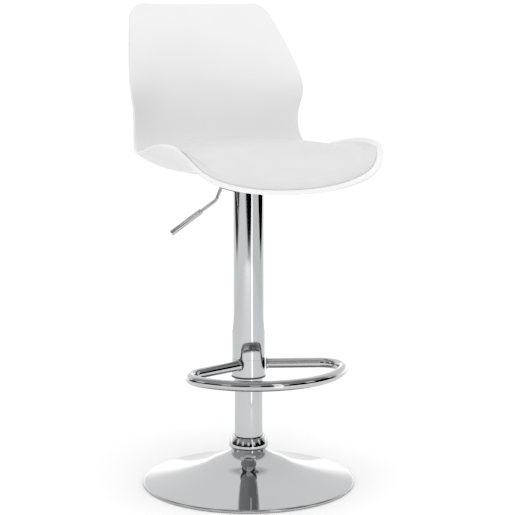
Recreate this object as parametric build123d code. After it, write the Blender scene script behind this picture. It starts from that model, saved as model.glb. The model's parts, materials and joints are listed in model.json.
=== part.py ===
from build123d import *

import os
from math import cos, hypot, radians, sin, sqrt

import numpy as np

os.makedirs("parts", exist_ok=True)

# An adjustable swivel bar stool, in millimetres, +Z up, with the sitter facing -Y.
# The origin is on the column's axis, on the floor.

# ---- driving dimensions ------------------------------------------------------------------
BASE_RADIUS = 200.0
COLUMN_RADIUS = 26.5            # lower tube, fixed in the base
SLEEVE_RADIUS = 30.5            # cover sleeve, travels with the seat
SHELL_WALL = 5.0                # moulded seat shell
FIT = 0.05                      # radial clearance of a running fit
GAP = 0.3                       # clearance between parts that move past each other

# Sheet and tube walls
BASE_SHEET = 1.8
COLUMN_WALL = 2.0
SLEEVE_WALL = 1.6
PLATE_SHEET = 2.5
CYLINDER_WALL = 1.5

# Heights in the base and up the column
RIM_BOTTOM = 1.0                # lower edge of the dish, just clear of the floor
WEIGHT_BOTTOM, WEIGHT_TOP = 4.0, 12.0
FLANGE_TOP = 17.0
NECK_TOP, RING_TOP = 71.0, 91.0
TUBE_BOTTOM, TUBE_TOP = 14.0, 500.0
END_PLATE_TOP = 18.0
SLEEVE_BOTTOM, SLEEVE_TOP = 208.0, 559.0
HOOP_HEIGHT = 231.5
PLATE_TOP = 580.0               # seat plate's upper face, under the shell's bosses

# Gas lift
CYLINDER_RADIUS = 14.0
CYLINDER_BOTTOM, CYLINDER_TOP = 45.0, 563.0
TAPER_BOTTOM, TAPER_TOP_RADIUS = 530.0, 13.2
CYLINDER_ROOF = 545.0           # underside of the cylinder's closed end
ROD_RADIUS, SPIGOT_RADIUS = 5.0, 4.0
ROD_SHOULDER = 25.0
BALL_RADIUS, BALL_CIRCLE = 1.48, 8.0
PISTON_BOTTOM, PISTON_TOP = 272.0, 286.0
PIN_RADIUS = 2.5

# Footrest hoop, seen from above: two straight arms, two corners and a front bow
HOOP_TUBE_RADIUS = 9.5
HOOP_TUBE_WALL = 1.5
ARM_START_Y = -8.0              # where the arms' centre lines would meet
ARM_SWEEP = 20.0                # degrees forward of sideways
CORNER_RADIUS = 44.0
BOW_RADIUS = 164.0
BOW_FRONT_Y = -197.0
COLLAR_RADIUS = 32.6
COLLAR_TOP = 274.0
COLLAR_BAND_TOP = 241.0
SCREW_HEIGHTS = [221.0, 229.0]  # grub screws in the collar's rear boss

# Lift lever, in the plane y = 0
LEVER_HEIGHT = 570.8
LEVER_RADIUS = 3.25
GRIP_RADIUS = 5.3
PIVOT_X = -30.0
LEVER_BEND = (-51.6, LEVER_HEIGHT)
LEVER_ELBOW = (-64.3, 542.1)
GRIP_END = (-151.3, 485.4)
GRIP_LENGTH = 69.0

# Seat plate and its fasteners
PLATE_HALF_X, PLATE_HALF_Y = 58.0, 56.0
PLATE_LIP = 4.0                 # depth of its turned-down edges
CHANNEL_HALF_X, CHANNEL_HALF_Y = 40.0, 29.0
BOLT_X, BOLT_Y = 46.0, 42.0
BOSS_RADIUS = 11.0
SCREW_X = 60.0
SCREW_ROWS = [-112.0, 96.0]     # y of the pad screws
BOARD_BOTTOM, BOARD_TOP = 599.0, 604.0

# Seat shell: stations along its centre line, from the front lip, over the seat and up the
# back. The rim of each station stands forward of the centre line and above it, and the
# surface between them grows with a power of the distance from the centre.
SHELL_STATIONS = [
    # along   y       z    forward  rise  power  half width
    (0.00, -224.0, 577.0,     0.0,  20.0,  2.4,  194.0),
    (0.10, -170.0, 591.0,     0.0,  54.0,  2.6,  192.5),
    (0.19, -120.0, 591.5,     0.0,  64.0,  3.0,  191.5),
    (0.31,  -50.0, 590.5,     0.0,  62.0,  3.5,  191.0),
    (0.45,   35.0, 590.0,     0.0,  48.0,  4.0,  187.0),
    (0.56,  100.0, 591.5,     4.0,  36.0,  4.2,  180.0),
    (0.63,  152.0, 604.0,    20.0,  28.0,  3.8,  174.0),
    (0.69,  182.0, 638.0,    32.0,  22.0,  3.0,  168.5),
    (0.77,  194.0, 695.0,    47.0,  10.0,  2.4,  170.5),
    (0.82,  200.0, 735.0,    55.0,   4.0,  2.2,  175.5),
    (0.91,  226.0, 818.0,    32.0,   1.0,  2.0,  163.0),
    (1.00,  270.0, 899.0,    14.0,   2.0,  2.0,  139.0),
]
ROUND_START_Y = -150.0          # where the sides begin to round into the front
FRONT_HALF_WIDTH = 192.0
FRONT_CORNER_RADIUS = 60.0
TOP_CORNER_RADIUS = 24.0

# Seat pad: the height of its top along the centre line, from front to rear
PAD_CROWN = [(-240.0, 548.0), (-213.0, 584.0), (-170.0, 618.0), (-120.0, 640.0),
             (-50.0, 650.0), (40.0, 648.0), (110.0, 637.0), (160.0, 618.0)]
PAD_INSET = 9.0                 # pad's edge, inside the shell's rim
PAD_REAR_Y = 140.0
PAD_REAR_CORNER_RADIUS = 45.0
PAD_EDGE_POWER = 7.0            # how late the top turns down to its edge
PAD_REACH_POWER = 3.0           # squareness of the lines of equal height


# ---- helpers -----------------------------------------------------------------------------
def save(name, shape):
    """Write one node. A list becomes a group of separate solids."""
    items = shape if isinstance(shape, list) else [shape]
    solids = [solid for item in items for solid in item.solids()]
    whole = solids[0] if len(solids) == 1 else Compound(children=solids)
    export_step(whole, f"parts/{name}.step")


def rod(radius, bottom, top, x=0.0, y=0.0):
    """Upright round bar between two heights."""
    return Pos(x, y, (bottom + top) / 2) * Cylinder(radius, top - bottom)


def tube(outer, inner, bottom, top, x=0.0, y=0.0):
    """Upright round tube between two heights."""
    return rod(outer, bottom, top, x, y) - rod(inner, bottom - 1, top + 1, x, y)


def block(x_low, x_high, y_low, y_high, z_low, z_high):
    """Box between the given limits."""
    middle = Pos((x_low + x_high) / 2, (y_low + y_high) / 2, (z_low + z_high) / 2)
    return middle * Box(x_high - x_low, y_high - y_low, z_high - z_low)


def round_about_column(section):
    """Solid of revolution from a face drawn as (radius, height)."""
    return revolve(Plane.XZ * section, Axis.Z)


def quarter_points(radius):
    """Four points on a circle, between the axes."""
    return [(radius * cos(radians(45 + 90 * k)), radius * sin(radians(45 + 90 * k))) for k in range(4)]


def corner_points(x, y):
    """The four corners of a rectangle about the column."""
    return [(x, y), (-x, y), (-x, -y), (x, -y)]


def spline_through(knots, values):
    """Natural cubic spline through the values, as a function of the knot variable."""
    knots = np.array(knots, float)
    values = np.array(values, float)
    step = np.diff(knots)
    slope = np.diff(values) / step
    system = np.eye(len(knots))
    right = np.zeros(len(knots))
    for k in range(1, len(knots) - 1):
        system[k, k - 1:k + 2] = step[k - 1], 2 * (step[k - 1] + step[k]), step[k]
        right[k] = 6 * (slope[k] - slope[k - 1])
    bend = np.linalg.solve(system, right)

    def value(at):
        k = int(np.clip(np.searchsorted(knots, at) - 1, 0, len(step) - 1))
        low, high = at - knots[k], knots[k + 1] - at
        cubic = (bend[k] * high ** 3 + bend[k + 1] * low ** 3) / (6 * step[k])
        from_low = (values[k] / step[k] - bend[k] * step[k] / 6) * high
        from_high = (values[k + 1] / step[k] - bend[k + 1] * step[k] / 6) * low
        return float(cubic + from_low + from_high)

    return value


# ---- base --------------------------------------------------------------------------------
def base_trumpet():
    """Spun dish: a flared sheet from under the collar ring to a turned-down rim."""
    flare = [(BASE_RADIUS - 4, 6.8), (156, 15.6), (117, 26.3), (83, 39.2), (65, 48), (37, 64.4),
             (34, NECK_TOP)]
    below = [(radius - 0.3, height - BASE_SHEET) for radius, height in flare]
    neck_radius = COLUMN_RADIUS + GAP
    inner_rim = BASE_RADIUS - BASE_SHEET
    tangents = [(-1, 0.16), (-0.25, 1)]
    edges = [
        *Polyline((inner_rim, RIM_BOTTOM), (BASE_RADIUS, RIM_BOTTOM), (BASE_RADIUS, 4.4)).edges(),
        Spline((BASE_RADIUS, 4.4), flare[0], tangents=[(0, 1), tangents[0]]),
        Spline(*flare, tangents=tangents),
        *Polyline(flare[-1], (neck_radius, NECK_TOP), (neck_radius, NECK_TOP - BASE_SHEET),
                  below[-1]).edges(),
        Spline(*reversed(below), tangents=[(0.25, -1), (1, -0.16)]),
        *Polyline(below[0], (inner_rim, 4.0), (inner_rim, RIM_BOTTOM)).edges(),
    ]
    return round_about_column(make_face(edges))


def base_collar_ring():
    """Bead over the joint between the dish and the column, narrower at its top."""
    bore = COLUMN_RADIUS + GAP
    lower, upper = (36.8, NECK_TOP), (32.0, RING_TOP)
    flank = ThreePointArc(lower, (35.6, 81.0), upper)
    inside = Polyline(upper, (bore, RING_TOP), (bore, NECK_TOP), lower)
    return round_about_column(make_face([flank, *inside.edges()]))


def base_hub():
    """Socket for the column, with a flange on the weight plate."""
    hub = tube(31.5, COLUMN_RADIUS, WEIGHT_TOP, 60.0) + tube(55.0, COLUMN_RADIUS, WEIGHT_TOP, FLANGE_TOP)
    for x, y in quarter_points(45.0):
        hub -= rod(2.8, WEIGHT_TOP - 1, FLANGE_TOP + 1, x, y)
    return hub


def weight_plate():
    """Cast disc that gives the base its weight."""
    disc = tube(150.0, 18.0, WEIGHT_BOTTOM, WEIGHT_TOP)
    for x, y in quarter_points(45.0):
        disc -= rod(2.5, WEIGHT_BOTTOM + 1, WEIGHT_TOP + 1, x, y)
    return disc


def hub_bolts():
    """Four button-head bolts through the hub's flange."""
    return [rod(2.5, WEIGHT_BOTTOM + 1, FLANGE_TOP, x, y) + rod(4.6, FLANGE_TOP, FLANGE_TOP + 3.2, x, y)
            for x, y in quarter_points(45.0)]


def floor_ring():
    """Edging that stands on the floor inside the dish's rim and carries the weight plate."""
    return tube(196.5, 186.0, 0.0, 3.6) + tube(187.0, 146.0, 1.2, WEIGHT_BOTTOM)


# ---- column and swivel bearing -----------------------------------------------------------
def guide_bush():
    """Plastic bush in the top of the column tube, which the gas cylinder slides in."""
    bore = CYLINDER_RADIUS + FIT
    return (tube(COLUMN_RADIUS - COLUMN_WALL, bore, TUBE_TOP - 70, TUBE_TOP)
            + tube(COLUMN_RADIUS, bore, TUBE_TOP, TUBE_TOP + 3))


def ball_centres():
    """Centres of the ten bearing balls."""
    return [(BALL_CIRCLE * cos(radians(36 * k)), BALL_CIRCLE * sin(radians(36 * k))) for k in range(10)]


def thrust_balls():
    """Ball ring between the two thrust washers."""
    height = (END_PLATE_TOP + 2 + ROD_SHOULDER - 2) / 2
    return [Pos(x, y, height) * Sphere(BALL_RADIUS) for x, y in ball_centres()]


def thrust_cage():
    """Ring that spaces the balls."""
    cage = tube(10.4, 5.6, 20.8, 22.2)
    for x, y in ball_centres():
        cage -= rod(BALL_RADIUS + 0.1, 20, 23, x, y)
    return cage


def piston_rod():
    """Rod that turns on the thrust bearing, with a clip groove under the column's end plate."""
    body = rod(ROD_RADIUS, ROD_SHOULDER, PISTON_BOTTOM)
    spigot = rod(SPIGOT_RADIUS, 9.0, ROD_SHOULDER) - tube(SPIGOT_RADIUS + 1, 3.2, 12.6, 13.8)
    return body + spigot + rod(3.5, PISTON_BOTTOM, PISTON_TOP + 5)


def rod_clip():
    """Open retaining ring in the rod's groove."""
    return tube(7.0, 3.2, 12.7, 13.7) - block(0, 10, -2.4, 2.4, 12, 15)


def piston():
    """Piston with a ring groove."""
    radius = CYLINDER_RADIUS - CYLINDER_WALL - FIT
    return tube(radius, 3.5, PISTON_BOTTOM, PISTON_TOP) - tube(radius + 1, 10.5, 277.0, 281.0)


def piston_nut():
    """Hexagon nut that holds the piston on its rod."""
    return extrude(Plane.XY.offset(PISTON_TOP) * RegularPolygon(6.5, 6), 4.0) - rod(3.5, 280, 295)


# ---- gas cylinder ------------------------------------------------------------------------
def taper_radius(height):
    """Radius of the cylinder's mounting taper at a height."""
    share = (height - TAPER_BOTTOM) / (CYLINDER_TOP - TAPER_BOTTOM)
    return CYLINDER_RADIUS + share * (TAPER_TOP_RADIUS - CYLINDER_RADIUS)


def taper(bottom, top):
    """The mounting taper's solid between two heights."""
    section = Polyline((0, bottom), (taper_radius(bottom), bottom), (taper_radius(top), top), (0, top),
                       close=True)
    return round_about_column(make_face(section))


def gas_cylinder():
    """Pressure cylinder with a tapered, closed upper end."""
    outside = rod(CYLINDER_RADIUS, CYLINDER_BOTTOM, TAPER_BOTTOM) + taper(TAPER_BOTTOM, CYLINDER_TOP)
    bore = rod(CYLINDER_RADIUS - CYLINDER_WALL, CYLINDER_BOTTOM - 1, CYLINDER_ROOF)
    return outside - bore - rod(PIN_RADIUS + FIT, CYLINDER_ROOF - 1, CYLINDER_TOP + 1)


def taper_socket():
    """Socket welded into the mechanism channel, which grips the cylinder's taper."""
    return rod(21.0, 532.0, SLEEVE_TOP + PLATE_SHEET) - taper(531.0, CYLINDER_TOP)


# ---- sleeve and footrest -----------------------------------------------------------------
def sleeve_bottom_bush():
    """Plastic bush that keeps the sleeve centred on the column, with a lip below it."""
    bore = COLUMN_RADIUS + FIT
    return (tube(SLEEVE_RADIUS - SLEEVE_WALL, bore, SLEEVE_BOTTOM, SLEEVE_BOTTOM + 36)
            + tube(COLLAR_RADIUS - 0.6, bore, SLEEVE_BOTTOM - 2.6, SLEEVE_BOTTOM))


def hoop_centre_line():
    """Half of the hoop's centre line, on the +X side, from the column to the bow's front."""
    sweep = radians(ARM_SWEEP)
    along = Vector(cos(sweep), -sin(sweep))
    inward = Vector(-sin(sweep), -cos(sweep))
    start = Vector(0, ARM_START_Y)
    bow_centre = Vector(0, BOW_FRONT_Y + BOW_RADIUS)
    # The corner's centre is one corner radius from the arm and from the bow.
    offset = start + inward * CORNER_RADIUS - bow_centre
    reach = BOW_RADIUS - CORNER_RADIUS
    lead = offset.dot(along)
    arm_length = -lead + sqrt(lead ** 2 - offset.dot(offset) + reach ** 2)
    arm_end = start + along * arm_length
    corner_centre = arm_end + inward * CORNER_RADIUS
    outward = (corner_centre - bow_centre).normalized()
    bow_start = corner_centre + outward * CORNER_RADIUS
    middle = (outward - inward).normalized()
    arm = Line(start + along * 20, arm_end)
    corner = ThreePointArc(arm_end, corner_centre + middle * CORNER_RADIUS, bow_start)
    bow_end = Vector(0, BOW_FRONT_Y)
    bow_middle = ((bow_start - bow_centre) + (bow_end - bow_centre)).normalized() * BOW_RADIUS + bow_centre
    return [arm, corner, ThreePointArc(bow_start, bow_middle, bow_end)]


def footrest_hoop():
    """Bent tube, from one side of the collar round to the other."""
    half = hoop_centre_line()
    edges = half + [mirror(edge, Plane.YZ) for edge in half]
    path = Pos(0, 0, HOOP_HEIGHT) * Wire([edge for item in edges for edge in item.edges()])
    end = Plane(origin=path @ 0, z_dir=path % 0)
    outside = sweep(end * Circle(HOOP_TUBE_RADIUS), path)
    inside = sweep(end * Circle(HOOP_TUBE_RADIUS - HOOP_TUBE_WALL), path)
    return outside - inside - rod(COLLAR_RADIUS, HOOP_HEIGHT - 20, HOOP_HEIGHT + 20)


def footrest_collar():
    """Collar that carries the hoop: a band with an arched shield up its front."""
    band = tube(COLLAR_RADIUS, SLEEVE_RADIUS, SLEEVE_BOTTOM + 0.5, COLLAR_TOP)
    foot = (26, COLLAR_BAND_TOP)
    arch = Spline((-foot[0], foot[1]), (-20, 250), (-17, 262), (0, COLLAR_TOP), (17, 262), (20, 250), foot,
                  tangents=[(1, 0.2), (1, -0.2)])
    side_x = COLLAR_RADIUS + 2
    shoulders = Polyline(foot, (side_x, foot[1]), (side_x, SLEEVE_BOTTOM), (-side_x, SLEEVE_BOTTOM),
                         (-side_x, foot[1]), (-foot[0], foot[1]))
    front_outline = Plane.XZ * make_face([arch, *shoulders.edges()])
    front = band & extrude(front_outline, COLLAR_RADIUS + 5)
    rear = band & block(-40, 40, 0, 40, SLEEVE_BOTTOM, COLLAR_BAND_TOP)
    boss = Pos(0, 34, 225) * (Rot(90, 0, 0) * Cylinder(9, 10))
    body = front + rear + (boss - rod(SLEEVE_RADIUS, 200, 250))
    for height in SCREW_HEIGHTS:
        body -= Pos(0, 35, height) * (Rot(90, 0, 0) * Cylinder(2.5, 14))
    return body


def footrest_screws():
    """Two grub screws that lock the collar on the sleeve."""
    return [Pos(0, 34.5, height) * (Rot(90, 0, 0) * Cylinder(2.5, 8)) for height in SCREW_HEIGHTS]


# ---- seat mechanism ----------------------------------------------------------------------
def seat_plate():
    """Pressed steel plate with two turned-down edges, bolted under the shell."""
    bottom = PLATE_TOP - PLATE_SHEET
    plate = extrude(Plane.XY.offset(bottom) * RectangleRounded(2 * PLATE_HALF_X, 2 * PLATE_HALF_Y, 14),
                    PLATE_SHEET)
    for side in (-1, 1):
        outer = side * PLATE_HALF_X
        inner = side * (PLATE_HALF_X - PLATE_SHEET)
        plate += block(min(outer, inner), max(outer, inner), 14 - PLATE_HALF_Y, PLATE_HALF_Y - 14,
                       bottom - PLATE_LIP, bottom + 1)
    for x, y in corner_points(BOLT_X, BOLT_Y):
        plate -= rod(3.3, bottom - 1, PLATE_TOP + 1, x, y)
    return plate


def mechanism_channel():
    """Channel welded under the seat plate. It carries the taper socket and the lever's pivot."""
    roof = PLATE_TOP - PLATE_SHEET
    floor = SLEEVE_TOP
    inner_y = CHANNEL_HALF_Y - PLATE_SHEET
    outside = block(-CHANNEL_HALF_X, CHANNEL_HALF_X, -CHANNEL_HALF_Y, CHANNEL_HALF_Y, floor, roof)
    hollow = block(-CHANNEL_HALF_X - 1, CHANNEL_HALF_X + 1, -inner_y, inner_y, floor + PLATE_SHEET, roof + 1)
    pivot_hole = Pos(PIVOT_X, 0, LEVER_HEIGHT) * (Rot(90, 0, 0) * Cylinder(3.0, 80))
    return outside - hollow - rod(21.0, floor - 1, floor + 4) - pivot_hole


def pivot_bar(radius, length):
    """Round bar along the lever's pivot axis."""
    return Pos(PIVOT_X, 0, LEVER_HEIGHT) * (Rot(90, 0, 0) * Cylinder(radius, length))


def lever_pivot_pin():
    """Riveted pin across the channel."""
    half = CHANNEL_HALF_Y
    heads = [Pos(PIVOT_X, side * (half + 1), LEVER_HEIGHT) * (Rot(90, 0, 0) * Cylinder(4.8, 2))
             for side in (-1, 1)]
    return pivot_bar(3.0, 2 * half) + heads


def seat_bolts():
    """Four button-head bolts up through the seat plate into the shell's inserts."""
    head_top = PLATE_TOP - PLATE_SHEET - 1.4
    return [rod(2.95, head_top, 586.5, x, y) + rod(5.5, head_top - 3.4, head_top, x, y)
            for x, y in corner_points(BOLT_X, BOLT_Y)]


def bolt_washers():
    """Washers under the seat bolts' heads."""
    top = PLATE_TOP - PLATE_SHEET
    return [tube(7.5, 3.2, top - 1.4, top, x, y) for x, y in corner_points(BOLT_X, BOLT_Y)]


def threaded_inserts():
    """Metal inserts moulded into the shell's bosses."""
    return [tube(4.4, 3.0, PLATE_TOP, 588.0, x, y) for x, y in corner_points(BOLT_X, BOLT_Y)]


# ---- lever -------------------------------------------------------------------------------
def lever_cam():
    """Hub on the pivot pin, with a finger over the release pin."""
    finger_bottom = LEVER_HEIGHT - 3.5
    finger = block(PIVOT_X, 5, -5, 5, finger_bottom, finger_bottom + 4.5)
    return pivot_bar(6.2, 16) + finger - pivot_bar(3.0 + FIT, 20)


def lever_point(place):
    """A place in the lever's plane, as a point in space."""
    return Vector(place[0], 0, place[1])


def lever_rod():
    """Bent rod from the hub, down and out under the shell's side."""
    start = (PIVOT_X - 6.2, LEVER_HEIGHT)
    corners = [lever_point(place) for place in (start, LEVER_BEND, LEVER_ELBOW, GRIP_END)]
    path = FilletPolyline(*corners, radius=[7.0, 14.0])
    end = Plane(origin=path @ 0, z_dir=path % 0)
    hub_space = pivot_bar(6.2, 16)
    return sweep(end * Circle(LEVER_RADIUS), path) - hub_space


def lever_grip():
    """Sleeve on the lever's outer end."""
    elbow, end = lever_point(LEVER_ELBOW), lever_point(GRIP_END)
    along = (end - elbow).normalized()
    start = Plane(origin=end - along * GRIP_LENGTH, z_dir=along)
    length = GRIP_LENGTH + 1.5
    body = start * Pos(0, 0, length / 2) * Cylinder(GRIP_RADIUS, length)
    body = fillet(body.edges().filter_by(GeomType.CIRCLE), 1.4)
    return body - start * Pos(0, 0, GRIP_LENGTH / 2 - 1) * Cylinder(LEVER_RADIUS, GRIP_LENGTH + 2)


# ---- seat shell and pad ------------------------------------------------------------------
ALONG = [row[0] for row in SHELL_STATIONS]
CENTRE_Y, CENTRE_Z, FORWARD, RISE, POWER, HALF_WIDTH = (
    spline_through(ALONG, [row[column] for row in SHELL_STATIONS]) for column in range(1, 7))


def shell_point(along, x):
    """Point on the shell's upper, sitter-side surface."""
    share = (abs(x) / HALF_WIDTH(along)) ** POWER(along)
    return Vector(x, CENTRE_Y(along) - FORWARD(along) * share, CENTRE_Z(along) + RISE(along) * share)


def under_point(along, x):
    """Point on the shell's lower, outer surface, one wall away along the surface's normal."""
    step = 0.002
    low, high = max(along - step, 0.0), min(along + step, 1.0)
    lengthwise = shell_point(high, x) - shell_point(low, x)
    across = shell_point(along, x + 0.5) - shell_point(along, x - 0.5)
    return shell_point(along, x) - across.cross(lengthwise).normalized() * SHELL_WALL


def shell_grid(point, first, last, rows, columns, spread=1.0):
    """Rows of shell points, as wide as the rim times the spread."""
    grid = []
    for along in np.linspace(first, last, rows):
        reach = spread * HALF_WIDTH(along)
        grid.append([point(along, x) for x in np.linspace(-reach, reach, columns)])
    return grid


def smooth_face(grid):
    """Smooth face through a grid of points."""
    return Face.make_surface_from_array_of_points(grid, tol=0.05)


def solid_between(upper, lower):
    """Solid between two faces, closed by ruled faces along their edges."""
    pairs = zip(upper.edges(), lower.edges())
    sides = [Face.make_surface_from_curves(top_edge, bottom_edge) for top_edge, bottom_edge in pairs]
    return Solid(Shell([upper, lower, *sides]))


def front_edges(half_width, front_y):
    """Rounded front outline in plan: a corner, a wide bow and the other corner, all tangent."""
    corner_x = half_width - FRONT_CORNER_RADIUS
    depth = ROUND_START_Y - front_y
    bow_radius = (corner_x ** 2 + depth ** 2 - FRONT_CORNER_RADIUS ** 2) / (2 * (depth - FRONT_CORNER_RADIUS))
    corner_centre = Vector(corner_x, ROUND_START_Y)
    outward = (corner_centre - Vector(0, front_y + bow_radius)).normalized()
    touch = corner_centre + outward * FRONT_CORNER_RADIUS
    middle = corner_centre + (outward + Vector(1, 0)).normalized() * FRONT_CORNER_RADIUS
    bow = ThreePointArc((-touch.X, touch.Y), (0, front_y), touch)
    corner = ThreePointArc(touch, middle, (half_width, ROUND_START_Y))
    return [*mirror(corner, Plane.YZ).edges(), bow, corner]


def front_waste():
    """What is cut away in front of the shell's rounded outline."""
    side_x = FRONT_HALF_WIDTH
    ahead = Polyline((side_x, ROUND_START_Y), (260, ROUND_START_Y), (260, -300), (-260, -300),
                     (-260, ROUND_START_Y), (-side_x, ROUND_START_Y))
    outline = make_face([*front_edges(side_x, CENTRE_Y(0) + 0.5), *ahead.edges()])
    return extrude(Plane.XY.offset(500) * outline, 300)


def top_corner_waste(side):
    """What is cut away to round one top corner of the back."""
    top = CENTRE_Z(1) + RISE(1)
    half_width = HALF_WIDTH(1)
    lean = (HALF_WIDTH(0.93) - half_width) / (top - CENTRE_Z(0.93))
    stretch = hypot(1, lean)
    centre_x = half_width + lean * TOP_CORNER_RADIUS - stretch * TOP_CORNER_RADIUS
    centre_z = top - TOP_CORNER_RADIUS
    touch_x = centre_x + TOP_CORNER_RADIUS / stretch
    touch_z = centre_z + TOP_CORNER_RADIUS * lean / stretch
    corner = make_face(Polyline((centre_x, centre_z), (touch_x, touch_z), (touch_x + 40, touch_z),
                                (touch_x + 40, top + 20), (centre_x, top + 20), close=True))
    keep = Pos(centre_x, centre_z) * Circle(TOP_CORNER_RADIUS)
    waste = extrude(Plane.XZ * (corner - keep), -400)
    return waste if side > 0 else mirror(waste, Plane.YZ)


def seat_shell():
    """One-piece moulded shell with bosses under the seat for the plate's bolts."""
    upper = smooth_face(shell_grid(shell_point, 0.0, 1.0, 41, 25))
    lower = smooth_face(shell_grid(under_point, 0.0, 1.0, 41, 25))
    shell = solid_between(upper, lower) - front_waste()
    shell = shell - top_corner_waste(1) - top_corner_waste(-1)
    for x, y in corner_points(BOLT_X, BOLT_Y):
        shell += rod(BOSS_RADIUS, PLATE_TOP, 589.0, x, y)
    for x, y in corner_points(BOLT_X, BOLT_Y):
        shell -= rod(4.4, PLATE_TOP - 1, 588.0, x, y)
    for x, y, _ in screw_places():
        shell -= rod(2.1, 570, 605, x, y)
    return shell


def seat_height(x, y):
    """Height of the shell's upper surface over a place on the seat."""
    seat_rows = SHELL_STATIONS[:7]
    along = float(np.interp(y, [row[1] for row in seat_rows], [row[0] for row in seat_rows]))
    return shell_point(along, x).Z


def screw_places():
    """Each pad screw's x and y, and the height of the shell's upper surface there."""
    return [(x, y, seat_height(x, y)) for y in SCREW_ROWS for x in (-SCREW_X, SCREW_X)]


def pad_screws():
    """Four screws up through the shell into the pad's board."""
    screws = []
    for x, y, surface in screw_places():
        underside = surface - SHELL_WALL - 0.6
        screws.append(rod(2.0, underside, BOARD_TOP - 1, x, y) + rod(4.2, underside - 2.4, underside, x, y))
    return screws


def pad_board():
    """Plywood board inside the pad."""
    board = extrude(Plane.XY.offset(BOARD_BOTTOM) * Pos(0, -20) * RectangleRounded(164, 260, 30),
                    BOARD_TOP - BOARD_BOTTOM)
    for x, y, _ in screw_places():
        board -= rod(2.0, BOARD_BOTTOM - 1, BOARD_TOP - 1, x, y)
    return board


def pad_outline():
    """The pad's plan outline: the shell's rim, set in, and closed across the rear."""
    half_width = FRONT_HALF_WIDTH - PAD_INSET
    rear_width = HALF_WIDTH(0.6) - PAD_INSET - 6
    shoulder_y = PAD_REAR_Y - 22
    front = front_edges(half_width, CENTRE_Y(0) + PAD_INSET)
    side = ThreePointArc((half_width, ROUND_START_Y), (half_width - 2, 0), (rear_width, shoulder_y))
    rear = ThreePointArc((rear_width, shoulder_y), (0, PAD_REAR_Y), (-rear_width, shoulder_y))
    outline = make_face([*front, side, rear, *mirror(side, Plane.YZ).edges()])
    rear_corners = [vertex for vertex in outline.vertices() if vertex.Y > 100]
    return fillet(rear_corners, PAD_REAR_CORNER_RADIUS)


def pad_top_height(x, y):
    """Height of the pad's top: nearly level across, turned down to the shell at its edge."""
    crown = spline_through([place for place, _ in PAD_CROWN], [height for _, height in PAD_CROWN])(y)
    front_y = CENTRE_Y(0) + PAD_INSET
    across = abs(x) / (FRONT_HALF_WIDTH - PAD_INSET - 8)
    ahead = max(0.0, (ROUND_START_Y - y) / (ROUND_START_Y - front_y))
    behind = max(0.0, (y - 60) / (PAD_REAR_Y - 60))
    reach = sum(part ** PAD_REACH_POWER for part in (across, ahead, behind)) ** (1 / PAD_REACH_POWER)
    edge = seat_height(x, y) + 1.5
    return crown - max(crown - edge, -3.0) * min(reach, 1.15) ** PAD_EDGE_POWER


def seat_pad():
    """Cushion that fills the seat, with a recess for its board."""
    reach_x, front_y, rear_y = FRONT_HALF_WIDTH - 4, CENTRE_Y(0) + PAD_INSET - 6, PAD_REAR_Y + 6
    top = smooth_face([[Vector(x, y, pad_top_height(x, y)) for x in np.linspace(-reach_x, reach_x, 25)]
                       for y in np.linspace(front_y, rear_y, 25)])
    column = extrude(Plane.XY.offset(520) * pad_outline(), 180)
    seat = Pos(0, 0, GAP) * smooth_face(shell_grid(shell_point, 0.0, 0.62, 25, 25, 1.02))
    down = Vector(0, 0, -140)
    cushion = (column & Solid.extrude(top, down)) - Solid.extrude(seat, down)
    return cushion - pad_board_space()


def pad_board_space():
    """Recess for the board and the screws' ends."""
    return extrude(Plane.XY.offset(560) * Pos(0, -20) * RectangleRounded(164, 260, 30), BOARD_TOP - 560)


# ---- the assembly, node by node ----------------------------------------------------------
def save_base():
    """Everything that stands still on the floor."""
    save("base_trumpet", base_trumpet())
    save("base_collar_ring", base_collar_ring())
    save("base_hub", base_hub())
    save("hub_bolts", hub_bolts())
    save("weight_plate", weight_plate())
    save("floor_ring", floor_ring())
    save("column_tube", tube(COLUMN_RADIUS, COLUMN_RADIUS - COLUMN_WALL, TUBE_BOTTOM, TUBE_TOP))
    save("tube_end_plate", tube(COLUMN_RADIUS - COLUMN_WALL, SPIGOT_RADIUS + FIT, TUBE_BOTTOM, END_PLATE_TOP))
    save("guide_bush", guide_bush())
    save("thrust_washer_lower", tube(11.0, SPIGOT_RADIUS + GAP, END_PLATE_TOP, END_PLATE_TOP + 2))
    save("thrust_balls", thrust_balls())
    save("thrust_cage", thrust_cage())


def save_rod():
    """What turns with the seat but doesn't rise with it."""
    save("thrust_washer_upper", tube(11.0, SPIGOT_RADIUS, ROD_SHOULDER - 2, ROD_SHOULDER))
    save("piston_rod", piston_rod())
    save("rod_clip", rod_clip())
    save("rod_buffer", tube(10.0, ROD_RADIUS, ROD_SHOULDER, CYLINDER_BOTTOM - GAP))
    save("piston", piston())
    save("piston_ring", tube(CYLINDER_RADIUS - CYLINDER_WALL - FIT, 10.5, 277.0, 281.0))
    save("piston_nut", piston_nut())


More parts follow.
